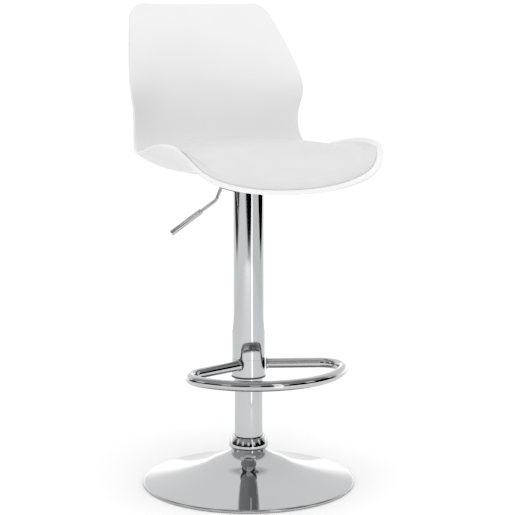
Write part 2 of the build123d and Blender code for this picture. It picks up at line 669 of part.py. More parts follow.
def save_seat():
    """What turns and rises with the seat."""
    bore = CYLINDER_RADIUS - CYLINDER_WALL
    save("gas_cylinder", gas_cylinder())
    save("cylinder_end_cap", tube(bore, ROD_RADIUS + FIT, CYLINDER_BOTTOM, CYLINDER_BOTTOM + 12))
    save("rod_seal", tube(bore, ROD_RADIUS + FIT, CYLINDER_BOTTOM + 12, CYLINDER_BOTTOM + 16))
    save("valve_body", tube(bore, PIN_RADIUS + FIT, CYLINDER_ROOF - 20, CYLINDER_ROOF))
    save("taper_socket", taper_socket())
    save("cover_sleeve", tube(SLEEVE_RADIUS, SLEEVE_RADIUS - SLEEVE_WALL, SLEEVE_BOTTOM, SLEEVE_TOP))
    save("sleeve_top_ring", tube(SLEEVE_RADIUS - SLEEVE_WALL, 21.0, 535.0, 556.0))
    save("sleeve_bottom_bush", sleeve_bottom_bush())
    save("footrest_hoop", footrest_hoop())
    save("footrest_collar", footrest_collar())
    save("footrest_screws", footrest_screws())
    save("seat_plate", seat_plate())
    save("mechanism_channel", mechanism_channel())
    save("lever_pivot_pin", lever_pivot_pin())
    save("seat_bolts", seat_bolts())
    save("bolt_washers", bolt_washers())
    save("threaded_inserts", threaded_inserts())
    save("seat_shell", seat_shell())
    save("pad_board", pad_board())
    save("pad_screws", pad_screws())
    save("seat_pad", seat_pad())


def save_lever():
    """The lift lever, and the release pin that it presses."""
    save("lever_cam", lever_cam())
    save("lever_rod", lever_rod())
    save("lever_grip", lever_grip())
    save("release_pin", rod(PIN_RADIUS, 515.0, LEVER_HEIGHT - 3.5 - GAP))


save_base()
save_rod()
save_seat()
save_lever()
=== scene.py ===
import json
from math import cos, pi, radians, sin, sqrt

import bpy
import numpy as np
from mathutils import Matrix, Vector


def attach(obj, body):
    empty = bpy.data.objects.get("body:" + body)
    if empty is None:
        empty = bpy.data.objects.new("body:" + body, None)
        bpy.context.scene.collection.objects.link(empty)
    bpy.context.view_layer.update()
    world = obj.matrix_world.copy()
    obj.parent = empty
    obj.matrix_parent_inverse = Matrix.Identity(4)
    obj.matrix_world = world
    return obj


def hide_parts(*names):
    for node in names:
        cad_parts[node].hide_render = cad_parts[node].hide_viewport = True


# The looks of an adjustable swivel bar stool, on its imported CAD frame. Shapes are worked out
# in millimetres, like the CAD, and turned into metres where a mesh or curve is made.

MM = 0.001
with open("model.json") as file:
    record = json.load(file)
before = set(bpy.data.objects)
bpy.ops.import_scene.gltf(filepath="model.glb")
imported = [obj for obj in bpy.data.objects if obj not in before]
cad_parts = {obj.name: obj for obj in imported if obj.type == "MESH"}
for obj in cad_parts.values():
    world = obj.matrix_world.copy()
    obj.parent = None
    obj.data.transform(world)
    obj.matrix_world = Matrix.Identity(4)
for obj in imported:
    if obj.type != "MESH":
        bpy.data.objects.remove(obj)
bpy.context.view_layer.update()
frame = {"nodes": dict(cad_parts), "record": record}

# ---- dimensions shared with the CAD, in millimetres ----------------------------------------
BASE_RADIUS = 200.0
COLUMN_RADIUS, COLUMN_WALL, COLUMN_BOTTOM, COLUMN_TOP = 26.5, 2.0, 14.0, 500.0
SLEEVE_RADIUS, SLEEVE_WALL = 30.5, 1.6
SLEEVE_BOTTOM, SLEEVE_TOP = 208.0, 559.0
NECK_TOP, RING_TOP, DISH_SHEET, BORE_GAP = 71.0, 91.0, 1.8, 0.3
HOOP_HEIGHT, HOOP_TUBE_RADIUS = 231.5, 9.5
ARM_START_Y, ARM_SWEEP, ARM_START, WELD_DISTANCE = -8.0, radians(20), 31.0, 30.0
REAR_BOSS_Y, REAR_BOSS_Z = 29.6, 225.0
CORNER_RADIUS, BOW_RADIUS, BOW_FRONT_Y = 44.0, 164.0, -197.0
# The collar is shown as a plain, thin band. The CAD's is thicker and has an arch on its front.
COLLAR_LOWER_RADIUS, COLLAR_UPPER_RADIUS, COLLAR_BOTTOM, COLLAR_TOP = 31.6, 30.8, 208.5, 241.0
LEVER_HEIGHT, LEVER_RADIUS, GRIP_RADIUS, GRIP_LENGTH = 570.8, 3.25, 5.3, 69.0
LEVER_PATH = [(-36.2, LEVER_HEIGHT), (-51.6, LEVER_HEIGHT), (-64.3, 542.1), (-151.3, 485.4)]
LEVER_BENDS = [7.0, 14.0]
PLATE_TOP, BOLT_X, BOLT_Y = 580.0, 46.0, 42.0
BOSS_RADIUS, BOSS_BORE, BOSS_TOP = 11.0, 5.0, 588.0
SHELL_WALL, SHELL_EDGE_ROUNDING = 5.0, 1.9
FRONT_Y, ROUND_START_Y, FRONT_HALF_WIDTH, FRONT_CORNER_RADIUS = -223.5, -150.0, 192.0, 60.0
TOP_CORNER_RADIUS = 24.0
SEAT_END, BACK_STATION = 0.62, 0.91     # places along the shell, as in the first column below
SHELL_STATIONS = [
    # along   y       z    forward  rise  power  half width
    (0.00, -224.0, 577.0,     0.0,  20.0,  2.4,  194.0),
    (0.10, -170.0, 591.0,     0.0,  54.0,  2.6,  192.5),
    (0.19, -120.0, 591.5,     0.0,  64.0,  3.0,  191.5),
    (0.31,  -50.0, 590.5,     0.0,  62.0,  3.5,  191.0),
    (0.45,   35.0, 590.0,     0.0,  48.0,  4.0,  187.0),
    (0.56,  100.0, 591.5,     4.0,  36.0,  4.2,  180.0),
    (0.63,  152.0, 604.0,    20.0,  28.0,  3.8,  174.0),
    (0.69,  182.0, 638.0,    32.0,  22.0,  3.0,  168.5),
    (0.77,  194.0, 695.0,    47.0,  10.0,  2.4,  170.5),
    (0.82,  200.0, 735.0,    55.0,   4.0,  2.2,  175.5),
    (0.91,  226.0, 818.0,    32.0,   1.0,  2.0,  163.0),
    (1.00,  270.0, 899.0,    14.0,   2.0,  2.0,  139.0),
]


# ---- node materials ------------------------------------------------------------------------
def connect(tree, socket, value):
    """Gives a node's input a number or colour, or a link if the value is a node's output."""
    if isinstance(value, bpy.types.NodeSocket):
        tree.links.new(value, socket)
    else:
        socket.default_value = value


class Nodes:
    """A material's node tree, with short ways to add nodes and links."""

    def __init__(self, name):
        self.material = bpy.data.materials.new(name)
        self.material.use_nodes = True
        self.tree = self.material.node_tree
        self.shader = self.tree.nodes["Principled BSDF"]
        self.place = self.add("ShaderNodeTexCoord").outputs["Object"]

    def add(self, kind, **settings):
        """One node. A setting named after an input is that input's value or a link to it."""
        node = self.tree.nodes.new(kind)
        for key, value in settings.items():
            spot = key.replace("_", " ")
            if spot in node.inputs:
                self.put(node.inputs[spot], value)
            else:
                setattr(node, key, value)
        return node

    def put(self, socket, value):
        connect(self.tree, socket, value)

    def noise(self, scale, detail=3.0, stretch=(1, 1, 1)):
        spread = self.add("ShaderNodeMapping", Vector=self.place, Scale=stretch)
        return self.add("ShaderNodeTexNoise", Vector=spread.outputs["Vector"], Scale=scale,
                        Detail=detail).outputs["Fac"]

    def ramp(self, value, low, high):
        """The value, 0 to 1, spread between two numbers."""
        node = self.add("ShaderNodeMapRange", Value=value, To_Min=low, To_Max=high)
        return node.outputs["Result"]

    def colours(self, value, dark, light):
        """The value, 0 to 1, as a mix of two colours."""
        node = self.add("ShaderNodeValToRGB", Fac=value)
        node.color_ramp.elements[0].color = (*dark, 1)
        node.color_ramp.elements[1].color = (*light, 1)
        node.color_ramp.elements[0].position = 0.3
        node.color_ramp.elements[1].position = 0.7
        return node.outputs["Color"]

    def bump(self, height, strength, distance):
        node = self.add("ShaderNodeBump", Height=height, Strength=strength, Distance=distance)
        self.put(self.shader.inputs["Normal"], node.outputs["Normal"])

    def finish(self, **values):
        for key, value in values.items():
            self.put(self.shader.inputs[key.replace("_", " ")], value)
        return self.material


def chrome_material():
    """Bright plate: almost mirror-like, with faint polishing haze and a few soft smears."""
    n = Nodes("chrome")
    haze = n.ramp(n.noise(9, 4), 0.025, 0.075)
    tone = n.colours(n.noise(4, 2), (0.50, 0.505, 0.512), (0.545, 0.549, 0.556))
    n.bump(n.noise(300, 2), 0.006, 0.0002)
    return n.finish(Base_Color=tone, Metallic=1.0, Roughness=haze)


def shell_material():
    """Moulded white plastic with a very fine spark-eroded grain."""
    n = Nodes("white_plastic")
    tone = n.colours(n.noise(6, 3), (0.70, 0.70, 0.705), (0.73, 0.73, 0.735))
    n.bump(n.noise(1600, 2), 0.12, 0.0002)
    return n.finish(Base_Color=tone, Roughness=n.ramp(n.noise(350, 2), 0.38, 0.5),
                    Specular_IOR_Level=0.45)


def pad_material():
    """White leather-look cover: fine pebbles with shallow creases between them."""
    n = Nodes("white_leather_look")
    tone = n.colours(n.noise(14, 4), (0.58, 0.58, 0.583), (0.61, 0.61, 0.613))
    pebbles = n.add("ShaderNodeTexVoronoi", Vector=n.place, Scale=620.0, feature="SMOOTH_F1")
    creases = n.noise(60, 5)
    height = n.add("ShaderNodeMath", operation="MULTIPLY_ADD")
    for socket, value in zip(height.inputs, (creases, 0.5, pebbles.outputs["Distance"])):
        n.put(socket, value)
    n.bump(height.outputs[0], 0.25, 0.0006)
    return n.finish(Base_Color=tone, Roughness=n.ramp(pebbles.outputs["Distance"], 0.42, 0.58),
                    Sheen_Weight=0.05)


def plain_material(name, dark, light, rough, metal=0.0, grain=400.0, strength=0.1,
                   stretch=(1, 1, 1)):
    """Plated, painted, cast, rubber and wooden parts: two tones, uneven gloss and a grain."""
    n = Nodes(name)
    tone = n.colours(n.noise(25, 4, stretch), dark, light)
    n.bump(n.noise(grain, 3, stretch), strength, 0.0004)
    return n.finish(Base_Color=tone, Metallic=metal, Roughness=n.ramp(n.noise(60, 3), *rough))


CHROME = chrome_material()
SHELL_PLASTIC = shell_material()
PAD_COVER = pad_material()
ZINC = plain_material("zinc_plate", (0.50, 0.51, 0.52), (0.64, 0.65, 0.66), (0.25, 0.4), 1.0)
BLACK_STEEL = plain_material("black_powder_coat", (0.018, 0.018, 0.02), (0.03, 0.03, 0.032),
                             (0.35, 0.5), grain=1200.0, strength=0.25)
IRON = plain_material("cast_iron", (0.05, 0.05, 0.05), (0.11, 0.105, 0.1), (0.6, 0.8), 0.6,
                      grain=250.0, strength=0.4)
RUBBER = plain_material("black_rubber", (0.02, 0.02, 0.02), (0.035, 0.035, 0.035), (0.6, 0.75))
BUSH = plain_material("bush_plastic", (0.035, 0.035, 0.038), (0.05, 0.05, 0.055), (0.4, 0.5),
                      grain=900.0)
ALLOY = plain_material("machined_alloy", (0.6, 0.6, 0.61), (0.72, 0.72, 0.73), (0.2, 0.35), 1.0,
                       grain=500.0)
WOOD = plain_material("plywood", (0.42, 0.30, 0.17), (0.62, 0.47, 0.30), (0.6, 0.7),
                      grain=300.0, strength=0.3, stretch=(1, 8, 8))
CAD_LOOKS = {
    "chrome_plate": CHROME, "zinc_steel": ZINC, "black_steel": BLACK_STEEL, "ballast_iron": IRON,
    "black_rubber": RUBBER, "bush_plastic": BUSH, "piston_alloy": ALLOY,
    "shell_plastic": SHELL_PLASTIC, "pad_leather": PAD_COVER, "board_wood": WOOD,
}
for part in frame["record"]["subparts"]:
    mesh = frame["nodes"][part["node"]].data
    mesh.materials.clear()
    mesh.materials.append(CAD_LOOKS[part["material_slot"]])


# ---- mesh helpers --------------------------------------------------------------------------
AXIS = 0.01                     # radius of the pinhole left on a turned part's axis


def piece(name, data, material, body, nodes=()):
    """A finished piece that rides on a CAD body and may stand for CAD nodes."""
    made = bpy.data.objects.new(name, data)
    bpy.context.scene.collection.objects.link(made)
    made.data.materials.append(material)
    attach(made, body)
    if nodes:
        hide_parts(*nodes)
    return made


def grid_mesh(name, rows, closed_across=False, closed_along=False):
    """Smooth mesh through rows of points in millimetres."""
    count, across = len(rows), len(rows[0])
    points = [tuple(Vector(point) * MM) for row in rows for point in row]
    last_row = count if closed_along else count - 1
    last_column = across if closed_across else across - 1
    faces = [(i * across + j, i * across + (j + 1) % across,
              (i + 1) % count * across + (j + 1) % across, (i + 1) % count * across + j)
             for i in range(last_row) for j in range(last_column)]
    mesh = bpy.data.meshes.new(name)
    mesh.from_pydata(points, [], faces)
    mesh.shade_smooth()
    return mesh


def spline_through(knots, values):
    """Natural cubic spline through the values, as a function of the knot variable."""
    knots, values = np.array(knots, float), np.array(values, float)
    step = np.diff(knots)
    slope = np.diff(values) / step
    system, right = np.eye(len(knots)), np.zeros(len(knots))
    for k in range(1, len(knots) - 1):
        system[k, k - 1:k + 2] = step[k - 1], 2 * (step[k - 1] + step[k]), step[k]
        right[k] = 6 * (slope[k] - slope[k - 1])
    bend = np.linalg.solve(system, right)

    def value(at):
        k = int(np.clip(np.searchsorted(knots, at) - 1, 0, len(step) - 1))
        low, high = at - knots[k], knots[k + 1] - at
        cubic = (bend[k] * high ** 3 + bend[k + 1] * low ** 3) / (6 * step[k])
        from_low = (values[k] / step[k] - bend[k] * step[k] / 6) * high
        from_high = (values[k + 1] / step[k] - bend[k + 1] * step[k] / 6) * low
        return float(cubic + from_low + from_high)

    return value


def rounded(corners, radius, steps=6):
    """A closed profile of (radius, height) corners, each rounded."""
    profile = []
    for k, corner in enumerate(corners):
        here = Vector(corner)
        before = Vector(corners[k - 1]) - here
        after = Vector(corners[(k + 1) % len(corners)]) - here
        cut = min(radius, before.length * 0.45, after.length * 0.45)
        start, end = here + before.normalized() * cut, here + after.normalized() * cut
        for t in np.linspace(0, 1, steps):
            profile.append((1 - t) ** 2 * start + 2 * t * (1 - t) * here + t ** 2 * end)
    return profile


def lathe(name, profile, material, body, nodes=(), segments=192, place=None):
    """A closed profile of (radius, height) turned about +Z, or about +Z of a placed frame."""
    rows = []
    for turn in np.linspace(0, 2 * pi, segments, endpoint=False):
        rows.append([(r * cos(turn), r * sin(turn), z) for r, z in profile])
    mesh = grid_mesh(name, rows, closed_across=True, closed_along=True)
    if place is not None:
        mesh.transform(place)
    made = piece(name, mesh, material, body, nodes)
    # Long faces set the shading, so that straight walls mirror as straight ones.
    made.modifiers.new("shading", "WEIGHTED_NORMAL").weight = 100
    return made


def frame_along(start, end):
    """Matrix that puts +Z along a line in millimetres, starting at its first point."""
    turn = (Vector(end) - Vector(start)).to_track_quat("Z", "Y").to_matrix().to_4x4()
    return Matrix.Translation(Vector(start) * MM) @ turn


def round_corners(points, radii, steps=12):
    """Polyline in millimetres with each inner corner turned into an arc."""
    path = [Vector(points[0])]
    for k, radius in enumerate(radii, start=1):
        here = Vector(points[k])
        before = (Vector(points[k - 1]) - here).normalized()
        after = (Vector(points[k + 1]) - here).normalized()
        half = before.angle(after) / 2
        centre = here + (before + after).normalized() * radius / sin(half)
        start = (here + before * radius / np.tan(half) - centre).normalized()
        end = (here + after * radius / np.tan(half) - centre).normalized()
        for t in np.linspace(0, 1, steps):
            path.append(centre + start.slerp(end, t) * radius)
    path.append(Vector(points[-1]))
    return path


def bent_tube(name, path, radius, material, body, nodes=(), sides=40):
    """Tube mesh along a path in millimetres, with flat open ends inside its neighbours."""
    rows = []
    starts_level = abs((path[1] - path[0]).normalized().z) < 0.9
    side = Vector((0, 0, 1)) if starts_level else Vector((0, 1, 0))
    for k, here in enumerate(path):
        ahead = (path[min(k + 1, len(path) - 1)] - path[max(k - 1, 0)]).normalized()
        across = ahead.cross(side).normalized()
        side = across.cross(ahead)
        rows.append([here + (side * cos(turn) + across * sin(turn)) * radius
                     for turn in np.linspace(0, 2 * pi, sides, endpoint=False)])
    return piece(name, grid_mesh(name, rows, closed_across=True), material, body, nodes)


# ---- base and column -----------------------------------------------------------------------
def trumpet_profile():
    """Dish section: rolled rim, long concave flare, and the sheet's underside."""
    flare = [(196, 6.8), (156, 15.6), (117, 26.3), (83, 39.2), (65, 48), (37, 64.4),
             (34, NECK_TOP)]
    distance = np.cumsum([0, *(sqrt((a[0] - b[0]) ** 2 + (a[1] - b[1]) ** 2)
                               for a, b in zip(flare, flare[1:]))])
    radius = spline_through(distance, [point[0] for point in flare])
    height = spline_through(distance, [point[1] for point in flare])
    top = [(radius(d), height(d)) for d in np.linspace(0, distance[-1], 60)]
    rim = [(BASE_RADIUS - DISH_SHEET, 1.0), (BASE_RADIUS, 1.2), (BASE_RADIUS, 4.0),
           (BASE_RADIUS - 0.6, 5.4), (BASE_RADIUS - 2, 6.35)]
    bore = COLUMN_RADIUS + BORE_GAP
    underside = [(r - 0.3, z - DISH_SHEET) for r, z in reversed(top)]
    return [*rim, *top, (bore, NECK_TOP), (bore, NECK_TOP - DISH_SHEET), *underside,
            (BASE_RADIUS - DISH_SHEET, 4.0)]


def ring_profile():
    """Bead section over the dish's neck: a bulged cone with rounded edges."""
    bulge = [(36.9 - 4.8 * t ** 1.6 + 0.5 * sin(pi * t),
              NECK_TOP + 1 + (RING_TOP - NECK_TOP - 2) * t) for t in np.linspace(0, 1, 20)]
    bore = COLUMN_RADIUS + BORE_GAP
    return [(bore, NECK_TOP), (35.6, NECK_TOP), (36.5, NECK_TOP + 0.3), *bulge,
            (31.7, RING_TOP - 0.3), (30.8, RING_TOP), (bore, RING_TOP)]


def tube_profile(outer, wall, bottom, top):
    """Section of a straight tube with rounded edges."""
    return rounded([(outer - wall, bottom), (outer, bottom), (outer, top), (outer - wall, top)],
                   0.6)


lathe("dish", trumpet_profile(), CHROME, "base", ["base_trumpet"], 256)
lathe("dish_collar", ring_profile(), CHROME, "base", ["base_collar_ring"])
lathe("lower_tube", tube_profile(COLUMN_RADIUS, COLUMN_WALL, COLUMN_BOTTOM, COLUMN_TOP), CHROME,
      "base", ["column_tube"])
lathe("upper_sleeve", tube_profile(SLEEVE_RADIUS, SLEEVE_WALL, SLEEVE_BOTTOM, SLEEVE_TOP), CHROME,
      "seat", ["cover_sleeve"])


# ---- footrest ------------------------------------------------------------------------------
def hoop_path():
    """Hoop's centre line, from the collar's -X side round the front to its +X side."""
    along = Vector((cos(ARM_SWEEP), -sin(ARM_SWEEP)))
    inward = Vector((-sin(ARM_SWEEP), -cos(ARM_SWEEP)))
    start = Vector((0, ARM_START_Y))
    bow_centre = Vector((0, BOW_FRONT_Y + BOW_RADIUS))
    offset = start + inward * CORNER_RADIUS - bow_centre
    lead = offset.dot(along)
    reach = BOW_RADIUS - CORNER_RADIUS
    arm_end = start + along * (-lead + sqrt(lead ** 2 - offset.dot(offset) + reach ** 2))
    centre = arm_end + inward * CORNER_RADIUS
    outward = (centre - bow_centre).normalized()
    turn_start = (arm_end - centre).normalized()
    half = [start + along * ARM_START, arm_end]
    for t in np.linspace(0, 1, 24)[1:]:
        half.append(centre + turn_start.slerp(outward, t) * CORNER_RADIUS)
    for t in np.linspace(0, 1, 40)[1:]:
        half.append(bow_centre + outward.slerp(Vector((0, -1)), t) * BOW_RADIUS)
    right = [Vector((p.x, p.y, HOOP_HEIGHT)) for p in half]
    left = [Vector((-p.x, p.y, p.z)) for p in right]
    return left + right[-2::-1]


bent_tube("foot_hoop", hoop_path(), HOOP_TUBE_RADIUS, CHROME, "seat",
          ["footrest_hoop"])
collar_bore = SLEEVE_RADIUS + 0.1
lathe("hoop_collar", rounded([(collar_bore, COLLAR_BOTTOM), (COLLAR_LOWER_RADIUS, COLLAR_BOTTOM),
                              (COLLAR_UPPER_RADIUS, COLLAR_TOP), (collar_bore, COLLAR_TOP)], 0.4),
      CHROME, "seat", ["footrest_collar"])
weld_profile = [(9.0, 0), (11.0, 0), (10.8, 1.6), (10.3, 2.8), (9.8, 3.6), (9.0, 3.8)]
for side, side_name in ((-1, "right"), (1, "left")):
    outward = Vector((side * cos(ARM_SWEEP), -sin(ARM_SWEEP), 0))
    weld_start = Vector((0, ARM_START_Y, HOOP_HEIGHT)) + outward * WELD_DISTANCE
    lathe(f"hoop_weld_{side_name}", weld_profile, CHROME, "seat", segments=64,
          place=frame_along(weld_start, weld_start + outward))
rear_boss_profile = [(AXIS, 0), (8.6, 0), (9.0, 0.4), (9.0, 8.6), (8.4, 9.2), (AXIS, 9.2)]
lathe("collar_boss", rear_boss_profile, CHROME, "seat", segments=64,
      place=frame_along((0, REAR_BOSS_Y, REAR_BOSS_Z), (0, REAR_BOSS_Y + 1, REAR_BOSS_Z)))


# ---- lift lever ----------------------------------------------------------------------------
lever_points = [Vector((x, 0, z)) for x, z in LEVER_PATH]
bent_tube("lever_bar", round_corners(lever_points, LEVER_BENDS), LEVER_RADIUS, CHROME, "lever",
          ["lever_rod"], 32)
grip_end = lever_points[-1]
grip_start = grip_end - (grip_end - lever_points[-2]).normalized() * GRIP_LENGTH
# From the collar nearest the column, past its groove, to the domed outer end.
grip_profile = [(LEVER_RADIUS, 0.2), (GRIP_RADIUS - 1.3, 0), (GRIP_RADIUS - 0.4, 0.4),
                (GRIP_RADIUS, 1.4), (GRIP_RADIUS, 5.0), (GRIP_RADIUS - 0.5, 5.4),
                (GRIP_RADIUS - 0.5, 6.4), (GRIP_RADIUS, 6.8), (GRIP_RADIUS, GRIP_LENGTH - 0.6),
                (GRIP_RADIUS - 0.5, GRIP_LENGTH + 0.8), (GRIP_RADIUS - 1.6, GRIP_LENGTH + 1.4),
                (AXIS, GRIP_LENGTH + 1.5), (AXIS, 0.2)]
lathe("lever_handle", grip_profile, CHROME, "lever", ["lever_grip"], 64,
      frame_along(grip_start, grip_end))


# ---- seat shell ----------------------------------------------------------------------------
ALONG = [row[0] for row in SHELL_STATIONS]
CENTRE_Y, CENTRE_Z, FORWARD, RISE, POWER, HALF_WIDTH = (
    spline_through(ALONG, [row[column] for row in SHELL_STATIONS]) for column in range(1, 7))


def shell_point(along, x):
    """Point on the shell's upper, sitter-side surface."""
    share = min(abs(x) / HALF_WIDTH(along), 1.0) ** POWER(along)
    return Vector((x, CENTRE_Y(along) - FORWARD(along) * share,
                   CENTRE_Z(along) + RISE(along) * share))


def front_edge_y(x, inset=0.0):
    """The front outline in plan, or a line inside it: a wide bow between two tangent corners."""
    radius = FRONT_CORNER_RADIUS - inset
    corner_x = FRONT_HALF_WIDTH - FRONT_CORNER_RADIUS
    front_y = FRONT_Y + inset
    depth = ROUND_START_Y - front_y
    bow = (corner_x ** 2 + depth ** 2 - radius ** 2) / (2 * (depth - radius))
    touch = corner_x + radius * corner_x / (bow - radius)
    if abs(x) < touch:
        return front_y + bow - sqrt(bow ** 2 - x ** 2)
    return ROUND_START_Y - sqrt(max(radius ** 2 - (abs(x) - corner_x) ** 2, 0))


SEAT_ALONG = np.linspace(0, SEAT_END, 120)
SEAT_Y = [CENTRE_Y(along) for along in SEAT_ALONG]


def along_at(y):
    """Where the shell's centre line passes over a place on the seat."""
    return float(np.interp(y, SEAT_Y, SEAT_ALONG))


def front_along(share):
    """Where a lengthwise line starts at the front outline."""
    return along_at(front_edge_y(share * FRONT_HALF_WIDTH))


def top_along(share):
    """Where a lengthwise line ends at the top edge, which has two rounded corners."""
    corner_x = HALF_WIDTH(1) - TOP_CORNER_RADIUS
    past = max(abs(share) * HALF_WIDTH(1) - corner_x, 0) / TOP_CORNER_RADIUS
    drop = TOP_CORNER_RADIUS * (1 - sqrt(max(1 - past ** 2, 0)))
    return 1 - drop * (1 - BACK_STATION) / (CENTRE_Z(1) - CENTRE_Z(BACK_STATION))


def shell_rows(lengthwise=170, crosswise=121, crowding=0.35):
    """The shell's upper surface as rows of points, closer together near the outline."""
    rows = []
    shares = [sin(pi / 2 * t) for t in np.linspace(-1, 1, crosswise)]
    limits = [(front_along(share), top_along(share)) for share in shares]
    even = np.linspace(0, 1, lengthwise)
    crowded = 0.5 - 0.5 * np.cos(pi * even)
    for t in crowded * crowding + even * (1 - crowding):
        row = []
        for share, (first, last) in zip(shares, limits):
            along = first + (last - first) * t
            row.append(shell_point(along, share * HALF_WIDTH(along)))
        rows.append(row)
    return rows


shell = piece("shell", grid_mesh("shell", shell_rows()), SHELL_PLASTIC, "seat",
              ["seat_shell"])
wall = shell.modifiers.new("wall", "SOLIDIFY")
wall.thickness = SHELL_WALL * MM
wall.offset = -1.0
wall.use_quality_normals = True
edge = shell.modifiers.new("rounded_edge", "BEVEL")
edge.width = SHELL_EDGE_ROUNDING * MM
edge.segments = 4
edge.limit_method = "ANGLE"
edge.angle_limit = radians(50)
shell_boss_profile = rounded([(BOSS_BORE, PLATE_TOP), (BOSS_RADIUS, PLATE_TOP),
                              (BOSS_RADIUS + 0.6, BOSS_TOP), (BOSS_BORE, BOSS_TOP)], 0.6)
for x in (-BOLT_X, BOLT_X):
    for y in (-BOLT_Y, BOLT_Y):
        corner = ("l" if x > 0 else "r") + ("f" if y < 0 else "b")
        lathe(f"shell_boss_{corner}", shell_boss_profile, SHELL_PLASTIC, "seat",
              segments=48, place=Matrix.Translation((x * MM, y * MM, 0)))


# ---- seat pad ------------------------------------------------------------------------------
PAD_CROWN = spline_through([-240, -213, -170, -120, -50, 40, 110, 160],
                           [556, 592, 620, 641, 649, 646, 636, 618])
PAD_INSET, PAD_REAR_Y, PAD_REAR_CORNER = 9.5, 139.0, 45.0
PAD_LIP = 7.0                   # height of the pad's rounded edge above the shell
PAD_LIFT = 0.4                  # gap between the shell and the pad's underside
PAD_FALL_Y = 60.0               # where the crown begins to fall towards the rear


def pad_rows(lengthwise=90, crosswise=91):
    """Rows of (x, y, distance in from the pad's outline) over the whole pad."""
    rows = []
    for t in 0.5 - 0.5 * np.cos(pi * np.linspace(0, 1, lengthwise)):
        row = []
        for share in (sin(pi / 2 * v) for v in np.linspace(-1, 1, crosswise)):
            widest = FRONT_HALF_WIDTH - PAD_INSET
            past = max(abs(share) * widest - (widest - PAD_REAR_CORNER), 0) / PAD_REAR_CORNER
            rear_y = PAD_REAR_Y - PAD_REAR_CORNER * (1 - sqrt(max(1 - past ** 2, 0)))
            front_y = front_edge_y(share * widest, PAD_INSET)
            y = front_y + (rear_y - front_y) * t
            width = min(HALF_WIDTH(along_at(y)), FRONT_HALF_WIDTH) - PAD_INSET
            inside = min(width * (1 - abs(share)), y - front_y, rear_y - y)
            row.append((share * width, y, max(inside, 0.0)))
        rows.append(row)
    return rows


def pad_height(x, y, inside):
    """Height of the pad's top: nearly level across, with a rounded edge down to the shell."""
    along = along_at(y)
    surface = shell_point(along, x).z
    width = min(HALF_WIDTH(along), FRONT_HALF_WIDTH) - PAD_INSET
    ahead = max(0.0, (ROUND_START_Y - y) / (ROUND_START_Y - FRONT_Y - PAD_INSET))
    behind = max(0.0, (y - PAD_FALL_Y) / (PAD_REAR_Y - PAD_FALL_Y))
    reach = (abs(x / width) ** 3 + ahead ** 3 + behind ** 3) ** (1 / 3)
    crown = PAD_CROWN(y)
    level = crown + (surface + PAD_LIP - crown) * min(reach, 1.0) ** 6
    lip = sqrt(1 - (1 - min(inside / PAD_LIP, 1.0)) ** 2)
    return surface + PAD_LIFT + max(level - surface, PAD_LIP * 0.6) * lip


def cushion_mesh():
    """Closed mesh of the pad: its top, and its underside lying in the shell."""
    rows = pad_rows()
    across = len(rows[0])
    top = [Vector((x, y, pad_height(x, y, inside))) * MM for row in rows for x, y, inside in row]
    under = [Vector((x, y, shell_point(along_at(y), x).z + PAD_LIFT)) * MM
             for row in rows for x, y, _ in row]
    insides = [inside for row in rows for _, _, inside in row]
    # The two skins share the points of the outline, where the distance in is zero.
    inner = [k for k, inside in enumerate(insides) if inside > 0]
    below = {k: len(top) + n for n, k in enumerate(inner)}
    faces = []
    for i in range(len(rows) - 1):
        for j in range(across - 1):
            k = i * across + j
            corners = [k, k + 1, k + across + 1, k + across]
            faces.append(corners)
            faces.append([below.get(corner, corner) for corner in reversed(corners)])
    mesh = bpy.data.meshes.new("cushion")
    mesh.from_pydata(top + [under[k] for k in inner], [], faces)
    mesh.shade_smooth()
    return mesh, insides


def puff(cushion, insides, pressure=4.0, cap=0.005, steps=20):
    """Inflates the upper skin as cloth, by no more than the cap in metres. The underside and
    a margin along the outline stay put, and the skin is wholly free 27.5 mm in from it."""
    rest = np.array([vertex.co for vertex in cushion.data.vertices])
    free = np.zeros(len(rest))
    free[:len(insides)] = np.clip(np.array(insides) / 25 - 0.1, 0, 1)
    held = cushion.vertex_groups.new(name="held")
    for index, share in enumerate(free):
        held.add([index], 1 - share, "REPLACE")
    cloth = cushion.modifiers.new("cloth", "CLOTH")
    cloth.settings.use_pressure = True
    cloth.settings.uniform_pressure_force = pressure
    cloth.settings.vertex_group_mass = "held"
    cloth.settings.effector_weights.gravity = 0.0
    scene = bpy.context.scene
    for number in range(1, steps + 1):
        scene.frame_set(number)
    graph = bpy.context.evaluated_depsgraph_get()
    swollen = cushion.evaluated_get(graph).to_mesh()
    moved = np.array([vertex.co for vertex in swollen.vertices]) - rest
    cushion.modifiers.clear()
    scene.frame_set(1)
    scale = np.minimum(1, cap / np.maximum(np.linalg.norm(moved, axis=1), 1e-9)) * free
    for vertex, start, shift in zip(cushion.data.vertices, rest, moved * scale[:, None]):
        vertex.co = start + shift


pad_mesh, pad_insides = cushion_mesh()
pad = piece("cushion", pad_mesh, PAD_COVER, "seat", ["seat_pad"])
puff(pad, pad_insides)
soften = pad.modifiers.new("soften", "SUBSURF")
soften.levels = 1
soften.render_levels = 1


